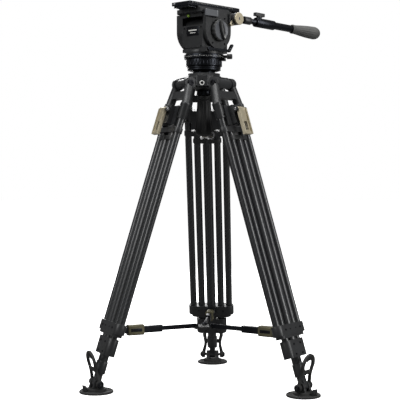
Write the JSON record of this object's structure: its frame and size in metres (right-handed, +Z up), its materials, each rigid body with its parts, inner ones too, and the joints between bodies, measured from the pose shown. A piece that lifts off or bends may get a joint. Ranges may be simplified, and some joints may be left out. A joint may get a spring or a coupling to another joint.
{
  "type": "tripod with fluid head",
  "caption": "Folding camera tripod with paired-tube telescopic legs, flip locks, mid-level spreader, rubber feet and a pan and tilt fluid head with bar and sliding plate.",
  "frame": {"origin": "on the floor, under the pan axis", "axes": "+Z up along the pan axis, the camera looks along -Y, the pan bar is at the rear on +X"},
  "size_m": [0.5911, 0.6993, 1.0356],
  "materials": {
    "cast": "fine satin powder coat",
    "anodised": "black satin anodised",
    "carbon": "woven carbon tube under clear resin",
    "rubber": "matt moulded rubber",
    "moulded": "textured moulding",
    "champagne": "bead-blasted champagne anodised",
    "steel": "turned stainless steel",
    "black_steel": "black oxide steel",
    "grey_dial": "grey moulding",
    "vial": "clear acrylic with green fluid"
  },
  "bodies": {
    "crown": {"crown": "cast", "hinge_bolts": "black_steel"},
    "ball": {"half_ball": "anodised", "clamp_washer": "anodised", "pan_base": "anodised"},
    "tie_down": {"tie_down_handle": "moulded"},
    "hub": {"spreader_hub": "moulded"},
    "drag_ring": {"pan_drag_ring": "moulded"},
    "pan_lock": {"pan_lock_knob": "moulded"},
    "head": {"head_body": "cast"},
    "tilt_lock": {"tilt_lock_lever": "black_steel"},
    "drag_dial": {"tilt_drag_dial": "grey_dial"},
    "cradle": {"tilt_cradle": "anodised", "bubble_level": "vial"},
    "plate_lock": {"plate_lock_lever": "grey_dial"},
    "plate": {"sliding_plate": "anodised"},
    "screws": {"camera_screws": "steel"},
    "plate_catch": {"plate_catch_button": "steel"},
    "bar_arm": {"rosette_arm": "anodised", "pan_bar_rod": "anodised"},
    "bar_screw": {"rosette_screw": "champagne"},
    "bar_tube": {"pan_bar_tube": "anodised", "pan_bar_grip": "rubber"},
    "bar_knob": {"pan_bar_clamp_knob": "moulded"},
    "leg_right": {"yoke_right": "cast", "outer_tubes_right": "carbon", "lower_bracket_right": "cast"},
    "mid_right": {"inner_tubes_right": "carbon", "mid_brackets_right": "cast"},
    "low_right": {"centre_tube_right": "carbon", "ankle_socket_right": "cast"},
    "lever_right": {"flip_lever_right": "champagne"},
    "shoe_right": {"foot_right": "rubber", "foot_strap_right": "rubber"},
    "arm_right": {"spreader_arm_right": "champagne"},
    "blade_right": {"spreader_blade_right": "anodised"},
    "leg_rear": {"yoke_rear": "cast", "outer_tubes_rear": "carbon", "lower_bracket_rear": "cast"},
    "mid_rear": {"inner_tubes_rear": "carbon", "mid_brackets_rear": "cast"},
    "low_rear": {"centre_tube_rear": "carbon", "ankle_socket_rear": "cast"},
    "lever_rear": {"flip_lever_rear": "champagne"},
    "shoe_rear": {"foot_rear": "rubber", "foot_strap_rear": "rubber"},
    "arm_rear": {"spreader_arm_rear": "champagne"},
    "blade_rear": {"spreader_blade_rear": "anodised"},
    "leg_front": {"yoke_front": "cast", "outer_tubes_front": "carbon", "lower_bracket_front": "cast"},
    "mid_front": {"inner_tubes_front": "carbon", "mid_brackets_front": "cast"},
    "low_front": {"centre_tube_front": "carbon", "ankle_socket_front": "cast"},
    "lever_front": {"flip_lever_front": "champagne"},
    "shoe_front": {"foot_front": "rubber", "foot_strap_front": "rubber"},
    "arm_front": {"spreader_arm_front": "champagne"},
    "blade_front": {"spreader_blade_front": "anodised"}
  },
  "joints": [
    {"name": "leg_right_fold", "type": "hinge", "parent": "crown", "child": "leg_right", "pos_m": [0.05942, 0.00835, 0.815], "axis": [-0.1392, 0.9903, 0], "range_deg": [0, 15.69]},
    {"name": "leg_right_middle_stage", "type": "slide", "parent": "leg_right", "child": "mid_right", "axis": [0.3009, 0.0423, -0.9527], "range_m": [0, 0.38]},
    {"name": "leg_right_lower_stage", "type": "slide", "parent": "mid_right", "child": "low_right", "axis": [0.3009, 0.0423, -0.9527], "range_m": [0, 0.38]},
    {"name": "leg_right_flip_lever", "type": "hinge", "parent": "leg_right", "child": "lever_right", "pos_m": [0.11583, 0.01628, 0.745], "axis": [0.1392, -0.9903, 0], "range_deg": [0, 110]},
    {"name": "foot_right_ankle", "type": "hinge", "parent": "low_right", "child": "shoe_right", "pos_m": [0.30896, 0.04342, 0.025], "axis": [-0.1392, 0.9903, 0], "range_deg": [-4, 25]},
    {"name": "spreader_right_arm_hinge", "type": "hinge", "parent": "leg_right", "child": "arm_right", "pos_m": [0.23942, 0.03365, 0.15795], "axis": [-0.1392, 0.9903, 0], "range_deg": [0, 59.79]},
    {"name": "spreader_right_blade_slide", "type": "slide", "parent": "arm_right", "child": "blade_right", "axis": [0.9903, 0.1392, 0], "range_m": [0, 0.085]},
    {"name": "leg_rear_fold", "type": "hinge", "parent": "crown", "child": "leg_rear", "pos_m": [-0.03694, 0.04728, 0.815], "axis": [-0.788, -0.6157, 0], "range_deg": [0, 15.69]},
    {"name": "leg_rear_middle_stage", "type": "slide", "parent": "leg_rear", "child": "mid_rear", "axis": [-0.1871, 0.2395, -0.9527], "range_m": [0, 0.38]},
    {"name": "leg_rear_lower_stage", "type": "slide", "parent": "mid_rear", "child": "low_rear", "axis": [-0.1871, 0.2395, -0.9527], "range_m": [0, 0.38]},
    {"name": "leg_rear_flip_lever", "type": "hinge", "parent": "leg_rear", "child": "lever_rear", "pos_m": [-0.07201, 0.09217, 0.745], "axis": [0.788, 0.6157, 0], "range_deg": [0, 110]},
    {"name": "foot_rear_ankle", "type": "hinge", "parent": "low_rear", "child": "shoe_rear", "pos_m": [-0.19209, 0.24586, 0.025], "axis": [-0.788, -0.6157, 0], "range_deg": [-4, 25]},
    {"name": "spreader_rear_arm_hinge", "type": "hinge", "parent": "leg_rear", "child": "arm_rear", "pos_m": [-0.14885, 0.19052, 0.15795], "axis": [-0.788, -0.6157, 0], "range_deg": [0, 59.79]},
    {"name": "spreader_rear_blade_slide", "type": "slide", "parent": "arm_rear", "child": "blade_rear", "axis": [-0.6157, 0.788, 0], "range_m": [0, 0.085]},
    {"name": "leg_front_fold", "type": "hinge", "parent": "crown", "child": "leg_front", "pos_m": [-0.02248, -0.05563, 0.815], "axis": [0.9272, -0.3746, 0], "range_deg": [0, 15.69]},
    {"name": "leg_front_middle_stage", "type": "slide", "parent": "leg_front", "child": "mid_front", "axis": [-0.1138, -0.2818, -0.9527], "range_m": [0, 0.38]},
    {"name": "leg_front_lower_stage", "type": "slide", "parent": "mid_front", "child": "low_front", "axis": [-0.1138, -0.2818, -0.9527], "range_m": [0, 0.38]},
    {"name": "leg_front_flip_lever", "type": "hinge", "parent": "leg_front", "child": "lever_front", "pos_m": [-0.04382, -0.10845, 0.745], "axis": [-0.9272, 0.3746, 0], "range_deg": [0, 110]},
    {"name": "foot_front_ankle", "type": "hinge", "parent": "low_front", "child": "shoe_front", "pos_m": [-0.11688, -0.28928, 0.025], "axis": [0.9272, -0.3746, 0], "range_deg": [-4, 25]},
    {"name": "spreader_front_arm_hinge", "type": "hinge", "parent": "leg_front", "child": "arm_front", "pos_m": [-0.09057, -0.22417, 0.15795], "axis": [0.9272, -0.3746, 0], "range_deg": [0, 59.79]},
    {"name": "spreader_front_blade_slide", "type": "slide", "parent": "arm_front", "child": "blade_front", "axis": [-0.3746, -0.9272, 0], "range_m": [0, 0.085]},
    {"name": "spreader_hub_rise", "type": "slide", "parent": "crown", "child": "hub", "axis": [0, 0, 1], "range_m": [0, 0.10387]},
    {"name": "head_level", "type": "hinge", "parent": "crown", "child": "ball", "pos_m": [0, 0, 0.844], "axis": [1, 0, 0], "range_deg": [-8, 8]},
    {"name": "tie_down_turn", "type": "hinge", "parent": "ball", "child": "tie_down", "pos_m": [0, 0, 0.744], "axis": [0, 0, 1], "continuous": true},
    {"name": "drag_ring_turn", "type": "hinge", "parent": "ball", "child": "drag_ring", "pos_m": [0, 0, 0.87], "axis": [0, 0, 1], "range_deg": [0, 90]},
    {"name": "pan_lock_turn", "type": "hinge", "parent": "ball", "child": "pan_lock", "pos_m": [0.05629, 0.0325, 0.88955], "axis": [0.866, 0.5, 0], "range_deg": [0, 120]},
    {"name": "pan", "type": "hinge", "parent": "ball", "child": "head", "pos_m": [0, 0, 0.9], "axis": [0, 0, 1], "continuous": true},
    {"name": "tilt_lock_swing", "type": "hinge", "parent": "head", "child": "tilt_lock", "pos_m": [0.0525, -0.038, 0.9056], "axis": [1, 0, 0], "range_deg": [0, 15]},
    {"name": "drag_dial_turn", "type": "hinge", "parent": "head", "child": "drag_dial", "pos_m": [0.055, 0.005, 0.958], "axis": [1, 0, 0], "range_deg": [0, 270]},
    {"name": "tilt", "type": "hinge", "parent": "head", "child": "cradle", "pos_m": [0, 0.005, 0.958], "axis": [-1, 0, 0], "range_deg": [-42, 38]},
    {"name": "plate_lock_swing", "type": "hinge", "parent": "cradle", "child": "plate_lock", "pos_m": [0.0505, -0.006, 1.0015], "axis": [0, 0, 1], "range_deg": [0, 70]},
    {"name": "plate_slide", "type": "slide", "parent": "cradle", "child": "plate", "axis": [0, 1, 0], "range_m": [-0.04, 0.04]},
    {"name": "camera_screw_slide", "type": "slide", "parent": "plate", "child": "screws", "axis": [0, 1, 0], "range_m": [-0.025, 0.025]},
    {"name": "plate_catch_press", "type": "slide", "parent": "plate", "child": "plate_catch", "axis": [0, 1, 0], "range_m": [0, 0.003], "stiffness_N_per_m": 150},
    {"name": "pan_bar_angle", "type": "hinge", "parent": "cradle", "child": "bar_arm", "pos_m": [0.0603, 0.068, 0.9945], "axis": [1, 0, 0], "range_deg": [-60, 60]},
    {"name": "rosette_screw_turn", "type": "hinge", "parent": "bar_arm", "child": "bar_screw", "pos_m": [0.0643, 0.068, 0.9945], "axis": [1, 0, 0], "continuous": true},
    {"name": "pan_bar_length", "type": "slide", "parent": "bar_arm", "child": "bar_tube", "axis": [0.1733, 0.983, -0.061], "range_m": [0, 0.08]},
    {"name": "bar_clamp_turn", "type": "hinge", "parent": "bar_tube", "child": "bar_knob", "pos_m": [0.07556, 0.14292, 1.00988], "axis": [0.0106, 0.0601, 0.9981], "range_deg": [0, 150]}
  ],
  "couplings": [
    {"joint": "spreader_right_arm_hinge", "follows": "leg_right_fold", "ratio": 3.8101},
    {"joint": "spreader_right_blade_slide", "follows": "leg_right_fold", "m_per_rad": 0.31036},
    {"joint": "leg_rear_fold", "follows": "leg_right_fold", "ratio": 1},
    {"joint": "spreader_rear_arm_hinge", "follows": "leg_right_fold", "ratio": 3.8101},
    {"joint": "spreader_rear_blade_slide", "follows": "leg_right_fold", "m_per_rad": 0.31036},
    {"joint": "leg_front_fold", "follows": "leg_right_fold", "ratio": 1},
    {"joint": "spreader_front_arm_hinge", "follows": "leg_right_fold", "ratio": 3.8101},
    {"joint": "spreader_front_blade_slide", "follows": "leg_right_fold", "m_per_rad": 0.31036},
    {"joint": "spreader_hub_rise", "follows": "leg_right_fold", "m_per_rad": 0.37922}
  ]
}
